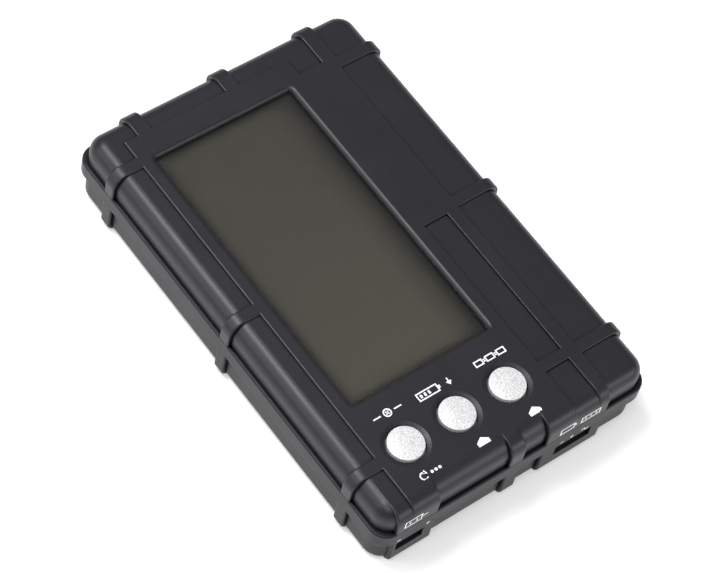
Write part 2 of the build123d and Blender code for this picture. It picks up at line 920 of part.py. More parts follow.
# ---------------------------------------------------------------- sockets and their pins
for ways, y in balance_sockets:
    mouth = Plane(origin=(socket_face, y, main_board_top), x_dir=(1, 0, 0), z_dir=(0, 0, 1))
    name = str(ways) + "_way"
    housing = side_socket(mouth, socket_length(ways), socket_height, socket_depth, ways, way_pitch)
    finish_part(housing, "balance_socket_" + name)
    pins = side_pins(mouth, socket_height, socket_depth, ways, way_pitch)
    finish_part(pins, "balance_pins_" + name)

port_height_outside = port_height + 2 * socket_wall
for name, x, width, ways in (
    ("battery", battery_port_x, battery_port_width, battery_ways),
    ("receiver", receiver_port_x, receiver_port_width, receiver_ways),
):
    mouth = Plane(origin=(x, port_face, main_board_top), x_dir=(0, -1, 0), z_dir=(0, 0, 1))
    length = width + 2 * socket_wall
    housing = side_socket(mouth, length, port_height_outside, port_depth, ways, link_pitch)
    finish_part(housing, name + "_socket")
    pins = side_pins(mouth, port_height_outside, port_depth, ways, link_pitch)
    finish_part(pins, name + "_pins")

# ---------------------------------------------------------------- board-to-board link
link_header_bottom = display_board_bottom - link_header_height
link_socket_top = link_header_bottom - link_socket_gap

with BuildPart() as link_header:
    with BuildSketch(Plane.XY.offset(link_header_bottom)):
        with Locations((link_x, link_y)):
            Rectangle(link_header_width, link_ways * link_pitch)
        with Locations(link_places):
            Rectangle(pin_size, pin_size, mode=Mode.SUBTRACT)
    extrude(amount=link_header_height)
finish_part(link_header.part, "link_header")

with BuildPart() as link_socket:
    with BuildSketch(Plane.XY.offset(main_board_top)):
        with Locations((link_x, link_y)):
            Rectangle(link_header_width, link_ways * link_pitch)
    extrude(amount=link_socket_top - main_board_top)
    with BuildSketch(Plane.XY.offset(main_board_top + socket_wall)):
        with Locations(link_places):
            Rectangle(pin_size + 2 * pin_hole_clearance, pin_size + 2 * pin_hole_clearance)
    extrude(amount=link_socket_top - main_board_top - socket_wall, mode=Mode.SUBTRACT)
finish_part(link_socket.part, "link_socket")

with BuildPart() as link_pins:
    with BuildSketch(Plane.XY.offset(main_board_top + 2 * socket_wall)):
        with Locations(link_places):
            Rectangle(pin_size, pin_size)
    extrude(amount=display_board_top + pin_tail - main_board_top - 2 * socket_wall)
finish_part(link_pins.part, "link_pins")

# ---------------------------------------------------------------- parts on the main board
for index, offset in enumerate(way_offsets(cell_count, cell_pitch)):
    y = cell_y + offset
    with BuildPart() as transistor:
        x_low = cell_x - transistor_length / 2
        span_box(
            (x_low, x_low + transistor_length),
            (y - transistor_width / 2, y + transistor_width / 2),
            (main_board_top, main_board_top + transistor_height),
        )
        chamfer(transistor.edges().group_by(Axis.Z)[-1], chip_lead_height / 2)
        span_box(
            (x_low - transistor_tab, x_low),
            (y - transistor_width / 3, y + transistor_width / 3),
            (main_board_top, main_board_top + chip_lead_height),
        )
        for side in (-1, 1):
            lead_y = y + side * transistor_width / 3
            span_box(
                (x_low + transistor_length, x_low + transistor_length + transistor_lead_length),
                (lead_y - transistor_lead_width / 2, lead_y + transistor_lead_width / 2),
                (main_board_top, main_board_top + chip_lead_height),
            )
    finish_part(transistor.part, "bleed_transistor_" + str(index + 1))

    with BuildPart() as resistor:
        x_low = cell_x + transistor_length + transistor_lead_length
        span_box(
            (x_low, x_low + resistor_length),
            (y - resistor_width / 2, y + resistor_width / 2),
            (main_board_top, main_board_top + resistor_height),
        )
        span_box(
            (x_low + resistor_cap, x_low + resistor_length - resistor_cap),
            (y - resistor_width / 2, y + resistor_width / 2),
            (main_board_top + resistor_height - resistor_cap_step, main_board_top + resistor_height),
            Mode.SUBTRACT,
        )
    finish_part(resistor.part, "bleed_resistor_" + str(index + 1))

controller = chip(
    controller_x, controller_y, main_board_top, 1, chip_size, chip_size, chip_height
)
finish_part(controller, "microcontroller")

with BuildPart() as voltage_regulator:
    span_box(
        (regulator_x - regulator_width / 2, regulator_x + regulator_width / 2),
        (controller_y - regulator_length / 2, controller_y + regulator_length / 2),
        (main_board_top, main_board_top + regulator_height),
    )
    chamfer(voltage_regulator.edges().group_by(Axis.Z)[-1], chip_lead_height / 2)
    for side in (-1, 1):
        span_box(
            (regulator_x - regulator_width / 4, regulator_x + regulator_width / 4),
            (
                controller_y + side * regulator_length / 2 - chip_lead_length,
                controller_y + side * regulator_length / 2 + chip_lead_length,
            ),
            (main_board_top, main_board_top + chip_lead_height),
        )
finish_part(voltage_regulator.part, "voltage_regulator")

with BuildPart() as smoothing_capacitor:
    with BuildSketch(Plane.XY.offset(main_board_top)):
        with Locations((capacitor_x, controller_y)):
            Circle(capacitor_diameter / 2)
    extrude(amount=capacitor_height)
    fillet(smoothing_capacitor.edges().group_by(Axis.Z)[-1], chip_lead_height)
    span_box(
        (capacitor_x - capacitor_diameter / 2, capacitor_x + capacitor_diameter / 2),
        (controller_y - capacitor_diameter / 2, controller_y + capacitor_diameter / 2),
        (main_board_top, main_board_top + chip_lead_length),
    )
finish_part(smoothing_capacitor.part, "smoothing_capacitor")
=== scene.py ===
import json
import math

import bmesh
import bpy
from mathutils import Matrix, Vector


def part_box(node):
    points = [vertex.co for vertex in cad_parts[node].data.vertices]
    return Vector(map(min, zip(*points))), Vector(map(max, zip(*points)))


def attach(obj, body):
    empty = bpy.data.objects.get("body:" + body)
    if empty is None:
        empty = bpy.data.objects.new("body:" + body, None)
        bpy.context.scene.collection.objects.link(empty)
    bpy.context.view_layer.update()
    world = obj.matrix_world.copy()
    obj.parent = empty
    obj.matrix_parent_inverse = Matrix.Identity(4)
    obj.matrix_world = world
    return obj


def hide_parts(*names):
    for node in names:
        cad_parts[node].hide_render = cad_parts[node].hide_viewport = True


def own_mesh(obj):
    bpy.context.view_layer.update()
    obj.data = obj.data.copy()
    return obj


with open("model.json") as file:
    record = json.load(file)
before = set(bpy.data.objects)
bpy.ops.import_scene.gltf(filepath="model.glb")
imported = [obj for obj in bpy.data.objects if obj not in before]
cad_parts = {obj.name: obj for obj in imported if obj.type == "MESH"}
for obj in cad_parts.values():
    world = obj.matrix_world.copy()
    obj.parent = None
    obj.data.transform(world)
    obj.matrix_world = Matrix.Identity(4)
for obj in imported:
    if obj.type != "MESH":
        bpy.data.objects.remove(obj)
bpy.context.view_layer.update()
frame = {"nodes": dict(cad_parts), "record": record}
nodes = frame["nodes"]

MM = 0.001

# ---------------------------------------------------------------- sizes and places
# Places come from the frame; the sizes below repeat the case's own
CASE_LOW, CASE_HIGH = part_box("top_case")
BASE_LOW, BASE_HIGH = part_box("bottom_case")
TOP_Z = CASE_HIGH.z
NEAR_Y = CASE_LOW.y
WINDOW_LOW, WINDOW_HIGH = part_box("lcd_window")
BUTTON_SIDES = ("left", "middle", "right")
# The lens reaches this far past the display opening on each side
LENS_MARGIN = 1.6 * MM
# Widths of the painted shade on the display, along its rim and towards its right edge
RIM_SHADE_WIDTH = 2.6 * MM
RIGHT_SHADE_WIDTH = 8.0 * MM


def middle(node):
    """The centre of a node's box."""
    low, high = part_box(node)
    return (low + high) / 2


BUTTON_CENTRES = {side: middle("button_cap_" + side) for side in BUTTON_SIDES}
# Rounded near edge of the platform: its radius, its step back from the near end, and where it starts
FRONT_RADIUS = 4.5 * MM
FRONT_STEP = 1.0 * MM
FRONT_START = NEAR_Y + FRONT_STEP + FRONT_RADIUS

# ---------------------------------------------------------------- camera
# Above the near left of the case, rolled a little
AZIMUTH = math.radians(-49.38)
ELEVATION = math.radians(56.38)
ROLL = math.radians(15.28)
DISTANCE = 0.6302
TARGET = Vector((-6.87 * MM, -7.34 * MM, 20.0 * MM))
SENSOR = 36.0
LENS = 142.3
CLIP_NEAR, CLIP_FAR = 0.01, 10.0


def add_camera():
    """The camera looks back along `back`, with its own up turned by ROLL."""
    back = Vector(
        (
            math.sin(AZIMUTH) * math.cos(ELEVATION),
            -math.cos(AZIMUTH) * math.cos(ELEVATION),
            math.sin(ELEVATION),
        )
    )
    level_right = Vector((math.cos(AZIMUTH), math.sin(AZIMUTH), 0.0))
    level_up = back.cross(level_right)
    right = math.cos(ROLL) * level_right + math.sin(ROLL) * level_up
    up = back.cross(right)
    data = bpy.data.cameras.new("camera")
    data.sensor_width = SENSOR
    data.lens = LENS
    data.clip_start, data.clip_end = CLIP_NEAR, CLIP_FAR
    camera = bpy.data.objects.new("camera", data)
    bpy.context.scene.collection.objects.link(camera)
    turned = Matrix((right, up, back)).transposed().to_4x4()
    camera.matrix_world = Matrix.Translation(TARGET + DISTANCE * back) @ turned
    bpy.context.scene.camera = camera


add_camera()


# ---------------------------------------------------------------- material helpers
OCCLUSION_SAMPLES = 8
# Shares of open sky between which a crease turns into open surface, and a thin edge into thick plastic
CREASE_RANGE = (0.45, 0.88)
EDGE_RANGE = (0.5, 0.9)


class Shader:
    """A material with one Principled shader and short calls for its procedural nodes."""

    def __init__(self, name, colour, roughness, **settings):
        self.material = bpy.data.materials.new(name)
        self.material.use_nodes = True
        self.material.diffuse_color = (*colour, 1.0)
        self.tree = self.material.node_tree
        self.main = self.tree.nodes["Principled BSDF"]
        self.main.inputs["Base Color"].default_value = (*colour, 1.0)
        self.main.inputs["Roughness"].default_value = roughness
        for socket, value in settings.items():
            self.main.inputs[socket.replace("_", " ")].default_value = value
        self.place = self.node("ShaderNodeTexCoord").outputs["Object"]

    def node(self, kind, **attributes):
        made = self.tree.nodes.new(kind)
        for key, value in attributes.items():
            setattr(made, key, value)
        return made

    def link(self, out_socket, in_socket):
        self.tree.links.new(out_socket, in_socket)

    def noise(self, size, detail=3.0, stretch=(1.0, 1.0, 1.0)):
        """Noise from 0 to 1 whose features are about `size` metres across."""
        mapping = self.node("ShaderNodeMapping")
        mapping.inputs["Scale"].default_value = [factor / size for factor in stretch]
        self.link(self.place, mapping.inputs["Vector"])
        noise = self.node("ShaderNodeTexNoise")
        noise.inputs["Scale"].default_value = 1.0
        noise.inputs["Detail"].default_value = detail
        self.link(mapping.outputs["Vector"], noise.inputs["Vector"])
        return noise.outputs["Fac"]

    def cells(self, size, feature="F1", output="Distance"):
        """Cells about `size` metres across."""
        voronoi = self.node("ShaderNodeTexVoronoi", feature=feature)
        voronoi.inputs["Scale"].default_value = 1.0 / size
        self.link(self.place, voronoi.inputs["Vector"])
        return voronoi.outputs[output]

    def spread(self, value, low, high, start=0.0, end=1.0):
        """Maps a value from start..end to low..high."""
        mapped = self.node("ShaderNodeMapRange")
        mapped.inputs["From Min"].default_value = start
        mapped.inputs["From Max"].default_value = end
        mapped.inputs["To Min"].default_value = low
        mapped.inputs["To Max"].default_value = high
        self.link(value, mapped.inputs["Value"])
        return mapped.outputs["Result"]

    def add(self, first, second):
        total = self.node("ShaderNodeMath", operation="ADD")
        self.link(first, total.inputs[0])
        self.link(second, total.inputs[1])
        return total.outputs[0]

    def mix(self, factor, first, second):
        """A colour between first and second, each a colour or a socket."""
        mixed = self.node("ShaderNodeMix", data_type="RGBA")
        self.link(factor, mixed.inputs["Factor"])
        first_socket, second_socket = mixed.inputs[6:8]
        for socket, colour in ((first_socket, first), (second_socket, second)):
            if isinstance(colour, tuple):
                socket.default_value = (*colour, 1.0)
            else:
                self.link(colour, socket)
        return mixed.outputs[2]

    def edge_distance(self, place, low, high):
        """Distance outside the plan rectangle low..high, negative inside it."""
        gaps = []
        for axis in (0, 1):
            centre, half = (low[axis] + high[axis]) / 2, (high[axis] - low[axis]) / 2
            offset = self.node("ShaderNodeMath", operation="SUBTRACT")
            self.link(place.outputs[axis], offset.inputs[0])
            offset.inputs[1].default_value = centre
            size = self.node("ShaderNodeMath", operation="ABSOLUTE")
            self.link(offset.outputs[0], size.inputs[0])
            gap = self.node("ShaderNodeMath", operation="SUBTRACT")
            self.link(size.outputs[0], gap.inputs[0])
            gap.inputs[1].default_value = half
            gaps.append(gap.outputs[0])
        largest = self.node("ShaderNodeMath", operation="MAXIMUM")
        self.link(gaps[0], largest.inputs[0])
        self.link(gaps[1], largest.inputs[1])
        return largest.outputs[0]

    def edges(self, reach):
        """1 on convex edges thinner than `reach` metres and 0 elsewhere."""
        core = self.node("ShaderNodeAmbientOcclusion", samples=OCCLUSION_SAMPLES, inside=True)
        core.inputs["Distance"].default_value = reach
        return self.spread(core.outputs["AO"], 1.0, 0.0, *EDGE_RANGE)

    def unshaded_share(self, reach):
        """0 deep in a crease of about `reach` metres and 1 on open surfaces."""
        shadow = self.node("ShaderNodeAmbientOcclusion", samples=OCCLUSION_SAMPLES)
        shadow.inputs["Distance"].default_value = reach
        return self.spread(shadow.outputs["AO"], 0.0, 1.0, *CREASE_RANGE)

    def colour(self, socket):
        self.link(socket, self.main.inputs["Base Color"])

    def roughness(self, socket):
        self.link(socket, self.main.inputs["Roughness"])

    def bump(self, height, depth, strength=1.0):
        bump = self.node("ShaderNodeBump")
        bump.inputs["Distance"].default_value = depth
        bump.inputs["Strength"].default_value = strength
        self.link(height, bump.inputs["Height"])
        self.link(bump.outputs["Normal"], self.main.inputs["Normal"])


# ---------------------------------------------------------------- materials
CREASE_REACH = 1.1 * MM
CREASE_SHINE = 0.03
EDGE_REACH = 0.35 * MM


def case_plastic(name, shine):
    """Black moulded plastic: spark-eroded grain, polished a little at its edges, with painted shade that
    darkens its creases and takes away their shine.
    """
    shade = Shader(name, (0.013, 0.012, 0.016), 0.4, Specular_IOR_Level=shine)
    grain = shade.noise(0.45 * MM, detail=3.0)
    patches = shade.noise(14 * MM, detail=4.0)
    unshaded_share = shade.unshaded_share(CREASE_REACH)
    shade.roughness(shade.add(shade.spread(patches, 0.33, 0.45), shade.spread(grain, -0.04, 0.04)))
    tone = shade.mix(patches, (0.0118, 0.0110, 0.0150), (0.0148, 0.0139, 0.0184))
    worn = shade.mix(shade.edges(EDGE_REACH), tone, (0.026, 0.0255, 0.029))
    # Painted shade: deep in creases the plastic turns near black and loses most of its shine
    shade.colour(shade.mix(unshaded_share, (0.002, 0.002, 0.0025), worn))
    shade.link(shade.spread(unshaded_share, CREASE_SHINE, shine), shade.main.inputs["Specular IOR Level"])
    shade.bump(grain, 0.012 * MM, 0.7)
    return shade.material


def inner_plastic():
    """Plain black moulding of holders, switch bodies and headers."""
    shade = Shader("inner_plastic", (0.014, 0.014, 0.015), 0.5)
    grain = shade.noise(0.3 * MM)
    shade.roughness(shade.spread(grain, 0.42, 0.58))
    shade.colour(shade.mix(grain, (0.011, 0.011, 0.012), (0.018, 0.018, 0.019)))
    shade.bump(grain, 0.01 * MM, 0.5)
    return shade.material


def socket_plastic():
    """Natural nylon, slightly translucent and mottled."""
    shade = Shader("socket_plastic", (0.72, 0.69, 0.60), 0.42)
    shade.main.inputs["Subsurface Weight"].default_value = 0.15
    shade.main.inputs["Subsurface Scale"].default_value = 0.6 * MM
    mottle = shade.noise(2.5 * MM, detail=4.0)
    shade.colour(shade.mix(mottle, (0.68, 0.65, 0.55), (0.77, 0.74, 0.66)))
    shade.roughness(shade.spread(mottle, 0.36, 0.5))
    shade.bump(shade.noise(0.25 * MM), 0.008 * MM, 0.5)
    return shade.material


def button_paint():
    """Silver paint with fine flake under a satin lacquer."""
    shade = Shader("button_paint", (0.66, 0.66, 0.68), 0.36, Metallic=0.35)
    flake = shade.cells(0.2 * MM, output="Color")
    brightness = shade.node("ShaderNodeSeparateColor")
    shade.link(flake, brightness.inputs["Color"])
    shade.colour(shade.mix(brightness.outputs[0], (0.55, 0.55, 0.565), (0.95, 0.95, 0.96)))
    shade.roughness(shade.spread(brightness.outputs[1], 0.25, 0.5))
    shade.bump(shade.noise(0.3 * MM), 0.012 * MM, 0.6)
    return shade.material


def display_glass():
    """An unlit segment display: olive-grey polariser, darker far from the user, with painted shade along
    its rim and towards its right edge.
    """
    shade = Shader("display_glass", (0.028, 0.026, 0.021), 0.4, Specular_IOR_Level=0.05)
    across = shade.node("ShaderNodeSeparateXYZ")
    shade.link(shade.place, across.inputs["Vector"])
    along = shade.spread(across.outputs["Y"], 0.0, 1.0, WINDOW_HIGH.y, WINDOW_LOW.y)
    tone = shade.mix(along, (0.0220, 0.0203, 0.0165), (0.0350, 0.0308, 0.0248))
    right_rim = WINDOW_HIGH.x - LENS_MARGIN
    # Painted shade: the display darkens towards its right edge
    right_shade = shade.spread(across.outputs["X"], 0.0, 1.0, right_rim - RIGHT_SHADE_WIDTH, right_rim)
    tone = shade.mix(right_shade, tone, (0.010, 0.009, 0.007))
    # Painted shade: the display turns near black along its rim
    rim_distance = shade.edge_distance(across, WINDOW_LOW, WINDOW_HIGH)
    inside = shade.spread(rim_distance, 1.0, 0.0, -RIM_SHADE_WIDTH - LENS_MARGIN, -LENS_MARGIN)
    shade.colour(shade.mix(inside, (0.001, 0.001, 0.001), tone))
    shade.roughness(shade.spread(shade.noise(8 * MM), 0.36, 0.44))
    return shade.material


def clear_window():
    """A clear hard-coated lens that lets lamplight through to the display."""
    shade = Shader("clear_window", (0.93, 0.94, 0.92), 0.05, Transmission_Weight=1.0, IOR=1.45)
    shade.roughness(shade.spread(shade.noise(20 * MM), 0.01, 0.03))
    rays = shade.node("ShaderNodeLightPath")
    clear = shade.node("ShaderNodeBsdfTransparent")
    clear.inputs["Color"].default_value = (0.93, 0.94, 0.92, 1.0)
    mixed = shade.node("ShaderNodeMixShader")
    shade.link(rays.outputs["Is Shadow Ray"], mixed.inputs["Fac"])
    shade.link(shade.main.outputs["BSDF"], mixed.inputs[1])
    shade.link(clear.outputs["BSDF"], mixed.inputs[2])
    shade.link(mixed.outputs["Shader"], shade.tree.nodes["Material Output"].inputs["Surface"])
    return shade.material


def white_ink():
    """Pad-printed white ink, slightly uneven."""
    shade = Shader("white_ink", (0.86, 0.86, 0.86), 0.5)
    patchy = shade.noise(0.5 * MM)
    shade.colour(shade.mix(patchy, (0.80, 0.80, 0.80), (0.92, 0.92, 0.92)))
    shade.roughness(shade.spread(patchy, 0.42, 0.6))
    shade.bump(patchy, 0.004 * MM, 0.4)
    return shade.material


TRACK_LENGTH, TRACK_PITCH, TRACK_WIDTH = 7.0, 1.3, 0.14


def circuit_board():
    """Green solder mask over copper tracks, whose sizes are in millimetres."""
    shade = Shader("circuit_board", (0.01, 0.10, 0.04), 0.3)
    tracks = shade.node("ShaderNodeTexBrick", offset=0.35, squash=1.6, squash_frequency=3)
    tracks.inputs["Scale"].default_value = 1.0 / MM
    tracks.inputs["Brick Width"].default_value = TRACK_LENGTH
    tracks.inputs["Row Height"].default_value = TRACK_PITCH
    tracks.inputs["Mortar Size"].default_value = TRACK_WIDTH
    shade.link(shade.place, tracks.inputs["Vector"])
    on_track = tracks.outputs["Fac"]
    shade.colour(shade.mix(on_track, (0.008, 0.075, 0.03), (0.02, 0.16, 0.065)))
    shade.roughness(shade.spread(shade.noise(1.5 * MM), 0.22, 0.38))
    shade.bump(on_track, 0.03 * MM, 0.5)
    return shade.material


METAL_SHADE = 0.86


def plain_metal(name, colour, low, high, size=0.4 * MM, stretch=(1.0, 1.0, 1.0), depth=0.006 * MM):
    """A bare metal with uneven sheen and fine drawing or rolling marks."""
    shade = Shader(name, colour, (low + high) / 2, Metallic=1.0)
    marks = shade.noise(size, detail=4.0, stretch=stretch)
    darker = tuple(channel * METAL_SHADE for channel in colour)
    shade.colour(shade.mix(marks, darker, colour))
    shade.roughness(shade.spread(marks, low, high))
    shade.bump(marks, depth, 0.5)
    return shade.material


def contact_rubber():
    """Elastomer strip with alternating conducting and clear layers."""
    shade = Shader("contact_rubber", (0.45, 0.25, 0.27), 0.6)
    wave = shade.node("ShaderNodeTexWave", wave_type="BANDS", bands_direction="X")
    wave.inputs["Scale"].default_value = 1.0 / MM
    shade.link(shade.place, wave.inputs["Vector"])
    shade.colour(shade.mix(wave.outputs["Fac"], (0.05, 0.03, 0.03), (0.50, 0.29, 0.30)))
    shade.roughness(shade.spread(shade.noise(0.5 * MM), 0.5, 0.7))
    shade.bump(shade.noise(0.3 * MM), 0.01 * MM, 0.4)
    return shade.material


def chip_epoxy():
    """Moulded epoxy with a fine matt grain."""
    shade = Shader("chip_epoxy", (0.02, 0.02, 0.022), 0.6)
    grain = shade.noise(0.18 * MM)
    shade.colour(shade.mix(grain, (0.014, 0.014, 0.016), (0.028, 0.028, 0.03)))
    shade.roughness(shade.spread(grain, 0.5, 0.7))
    shade.bump(grain, 0.02 * MM, 0.5)
    return shade.material


def resistor_ceramic():
    """Glazed black resistor body."""
    shade = Shader("resistor_ceramic", (0.03, 0.03, 0.034), 0.25)
    grain = shade.noise(0.6 * MM)
    shade.colour(shade.mix(grain, (0.02, 0.02, 0.024), (0.05, 0.05, 0.055)))
    shade.roughness(shade.spread(grain, 0.18, 0.34))
    shade.bump(grain, 0.01 * MM, 0.4)
    return shade.material


def floor_paper():
    """Seamless white studio paper."""
    shade = Shader("floor_paper", (0.92, 0.92, 0.92), 0.7)
    fibre = shade.noise(3 * MM)
    shade.colour(shade.mix(fibre, (0.905, 0.905, 0.905), (0.93, 0.93, 0.93)))
    shade.roughness(shade.spread(fibre, 0.6, 0.8))
    shade.main.inputs["Emission Color"].default_value = (1.0, 1.0, 1.0, 1.0)
    shade.main.inputs["Emission Strength"].default_value = 0.2
    return shade.material


MATERIALS = {
    "case_plastic": case_plastic("case_plastic", 0.38),
    "window": clear_window(),
    "lcd_glass": display_glass(),
    "button_silver": button_paint(),
    "black_plastic": inner_plastic(),
    "white_plastic": socket_plastic(),
    "contact_rubber": contact_rubber(),
    "circuit_board": circuit_board(),
    "tinned_metal": plain_metal("tinned_metal", (0.80, 0.79, 0.76), 0.18, 0.34),
    "screw_steel": plain_metal("screw_steel", (0.16, 0.16, 0.17), 0.28, 0.42),
    "spring_steel": plain_metal("spring_steel", (0.66, 0.66, 0.67), 0.2, 0.34, stretch=(1.0, 8.0, 1.0)),
    "chip_black": chip_epoxy(),
    "resistor_ceramic": resistor_ceramic(),
    "capacitor_can": plain_metal("capacitor_can", (0.80, 0.80, 0.81), 0.24, 0.36, stretch=(1.0, 1.0, 6.0)),
}
INK = white_ink()
# The bottom shell is a shaded copy of the top one: its lower shine is painted shade that darkens its walls
SHADED_BOTTOM_PLASTIC = case_plastic("shaded_bottom_plastic", 0.24)

for subpart in frame["record"]["subparts"]:
    node = nodes[subpart["node"]]
    node.data.materials.clear()
    node.data.materials.append(MATERIALS[subpart["material_slot"]])
nodes["bottom_case"].data.materials[0] = SHADED_BOTTOM_PLASTIC


# ---------------------------------------------------------------- switch domes
def flexing_dome(side):
    """The snap dome under a button, copied onto the case in place of the CAD part."""
    node_name = "switch_dome_" + side
    dome = bpy.data.objects.new("flexing_dome_" + side, nodes[node_name].data.copy())
    bpy.context.scene.collection.objects.link(dome)
    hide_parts(node_name)
    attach(dome, "case")
    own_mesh(dome)


for side in BUTTON_SIDES:
    flexing_dome(side)

# ---------------------------------------------------------------- printed marks
INK_THICKNESS = 0.03 * MM
INK_SINK = 0.01 * MM
STROKE = 0.32 * MM
SIGN_STROKE = 0.26 * MM
LABEL_RISE = 7.6 * MM
LABEL_HALF = 0.9 * MM
# A head is cut off this share of the way from its tip, so its end face has a size
TIP_SHARE = 0.02


def on_top(origin_x, origin_y):
    """Maps a mark's own x, y and lift to the platform, and on over its rounded near edge."""

    def place(x, y, lift):
        depth = FRONT_START - (origin_y + y)
        if depth <= 0:
            return Vector((origin_x + x, origin_y + y, TOP_Z + lift))
        turn = depth / FRONT_RADIUS
        reach = FRONT_RADIUS + lift
        return Vector(
            (
                origin_x + x,
                FRONT_START - reach * math.sin(turn),
                TOP_Z - FRONT_RADIUS + reach * math.cos(turn),
            )
        )

    return place


def on_near_end(origin_x, origin_z):
    """Maps a mark's own x, y and lift to the upright face of a port block."""

    def place(x, y, lift):
        return Vector((origin_x + x, NEAR_Y - lift, origin_z + y))

    return place


class Mark:
    """White printed shapes, each a thin solid laid on the case by a place function."""

    def __init__(self, name, place):
        self.name = name
        self.place = place
        self.mesh = bmesh.new()

    def ribbon(self, left_side, right_side, closed=False):
        """A printed band between two rows of points, given in the mark's own x and y."""
        rows = []
        for lift in (-INK_SINK, INK_THICKNESS - INK_SINK):
            rows.append(
                [
                    [self.mesh.verts.new(self.place(x, y, lift)) for x, y in side]
                    for side in (left_side, right_side)
                ]
            )
        (low_left, low_right), (high_left, high_right) = rows
        count = len(left_side)
        steps = range(count if closed else count - 1)
        for i in steps:
            j = (i + 1) % count
            self.mesh.faces.new((high_left[i], high_right[i], high_right[j], high_left[j]))
            self.mesh.faces.new((low_left[j], low_right[j], low_right[i], low_left[i]))
            self.mesh.faces.new((low_left[i], high_left[i], high_left[j], low_left[j]))
            self.mesh.faces.new((low_right[j], high_right[j], high_right[i], low_right[i]))
        if not closed:
            self.mesh.faces.new((low_left[0], low_right[0], high_right[0], high_left[0]))
            self.mesh.faces.new((low_right[-1], low_left[-1], high_left[-1], high_right[-1]))

    def bar(self, start, end, width, parts=6):
        """A straight stroke of an even width."""
        start, end = Vector(start), Vector(end)
        side = (end - start).orthogonal().normalized() * width / 2
        centres = [start.lerp(end, i / parts) for i in range(parts + 1)]
        self.ribbon([tuple(c + side) for c in centres], [tuple(c - side) for c in centres])

    def arc(self, centre, radius, width, start=0.0, sweep=360.0, parts=32):
        """A round stroke, a whole ring when it sweeps 360 degrees."""
        closed = sweep >= 360.0
        count = parts if closed else parts + 1
        angles = [math.radians(start + sweep * i / parts) for i in range(count)]

        def circle(r):
            return [(centre[0] + r * math.cos(a), centre[1] + r * math.sin(a)) for a in angles]

        self.ribbon(circle(radius - width / 2), circle(radius + width / 2), closed)

    def frame(self, low, high, width):
        """A hollow rectangle drawn with four strokes."""
        half = width / 2
        self.bar((low[0] - half, low[1]), (high[0] + half, low[1]), width)
        self.bar((low[0] - half, high[1]), (high[0] + half, high[1]), width)
        self.bar((low[0], low[1] + half), (low[0], high[1] - half), width)
        self.bar((high[0], low[1] + half), (high[0], high[1] - half), width)

    def head(self, tip, base, half_width, parts=4):
        """A filled triangular arrowhead."""
        tip, base = Vector(tip), Vector(base)
        side = (base - tip).orthogonal().normalized() * half_width
        shares = [TIP_SHARE + (1 - TIP_SHARE) * i / parts for i in range(parts + 1)]
        self.ribbon(
            [tuple(tip.lerp(base, share) + side * share) for share in shares],
            [tuple(tip.lerp(base, share) - side * share) for share in shares],
        )

    def finish(self):
        bmesh.ops.recalc_face_normals(self.mesh, faces=self.mesh.faces)
        data = bpy.data.meshes.new(self.name)
        self.mesh.to_mesh(data)
        self.mesh.free()
        data.materials.append(INK)
        piece = bpy.data.objects.new(self.name, data)
        bpy.context.scene.collection.objects.link(piece)
        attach(piece, "case")
        return piece


def house_mark(name, x):
    """A printed pentagon that points from the near end to the display."""
    lift = 0.5 * MM
    half, peak, foot = 1.6 * MM, 1.0 * MM, -0.95 * MM
    parts = 12
    mark = Mark(name, on_top(x, FRONT_START + lift))
    xs = [-half + 2 * half * i / parts for i in range(parts + 1)]
    roof = [(x, peak * (1 - abs(x) / half)) for x in xs]
    mark.ribbon(roof, [(x, foot) for x in xs])
    mark.finish()


def cross_label(side):
    """Stop: a ring with a cross in it, between two short bars."""
    centre = BUTTON_CENTRES[side]
    shift_x, shift_y = 1.2 * MM, 0.7 * MM
    reach = LABEL_HALF * 0.45
    dash_start, dash_end = 1.8 * MM, 3.8 * MM
    mark = Mark("label_stop", on_top(centre.x + shift_x, centre.y + LABEL_RISE + shift_y))
    mark.arc((0, 0), LABEL_HALF, STROKE)
    mark.bar((-reach, -reach), (reach, reach), STROKE)
    mark.bar((-reach, reach), (reach, -reach), STROKE)
    for direction in (-1, 1):
        mark.bar((direction * dash_start, 0), (direction * dash_end, 0), STROKE)
    mark.finish()


def discharge_label(side):
    """Discharge: a cell outline with its charge bars and an arrow pointing down."""
    centre = BUTTON_CENTRES[side]
    shift_x = -0.2 * MM
    cell_left, cell_right = -4.8 * MM, 0.6 * MM
    cap_x, cap_half, cap_stroke = 1.0 * MM, 0.4 * MM, STROKE * 1.6
    first_bar, bar_pitch, bar_half, bar_stroke = -3.9 * MM, 1.1 * MM, LABEL_HALF * 0.5, STROKE * 1.7
    arrow_x, shaft_foot = 3.6 * MM, -LABEL_HALF * 0.1
    tip_y, head_half = -LABEL_HALF * 1.1, 0.75 * MM
    mark = Mark("label_discharge", on_top(centre.x + shift_x, centre.y + LABEL_RISE))
    mark.frame((cell_left, -LABEL_HALF), (cell_right, LABEL_HALF), STROKE)
    mark.bar((cap_x, -cap_half), (cap_x, cap_half), cap_stroke)
    for step in range(3):
        x = first_bar + step * bar_pitch
        mark.bar((x, -bar_half), (x, bar_half), bar_stroke)
    mark.bar((arrow_x, LABEL_HALF), (arrow_x, shaft_foot), STROKE)
    mark.head((arrow_x, tip_y), (arrow_x, 0.0), head_half)
    mark.finish()


def balance_label(side):
    """Balance: three equal cells joined by pairs of short links."""
    centre = BUTTON_CENTRES[side]
    shift_x = 0.9 * MM
    cell_pitch, cell_half_width, cell_half_height = 3.1 * MM, 1.0 * MM, LABEL_HALF * 0.7
    link_start, link_end, link_height = 1.3 * MM, 1.8 * MM, LABEL_HALF * 0.25
    mark = Mark("label_balance", on_top(centre.x + shift_x, centre.y + LABEL_RISE))
    for step in (-1, 0, 1):
        low = (step * cell_pitch - cell_half_width, -cell_half_height)
        high = (step * cell_pitch + cell_half_width, cell_half_height)
        mark.frame(low, high, STROKE)
    for height in (-link_height, link_height):
        mark.bar((-link_end, height), (-link_start, height), STROKE)
        mark.bar((link_start, height), (link_end, height), STROKE)
    mark.finish()


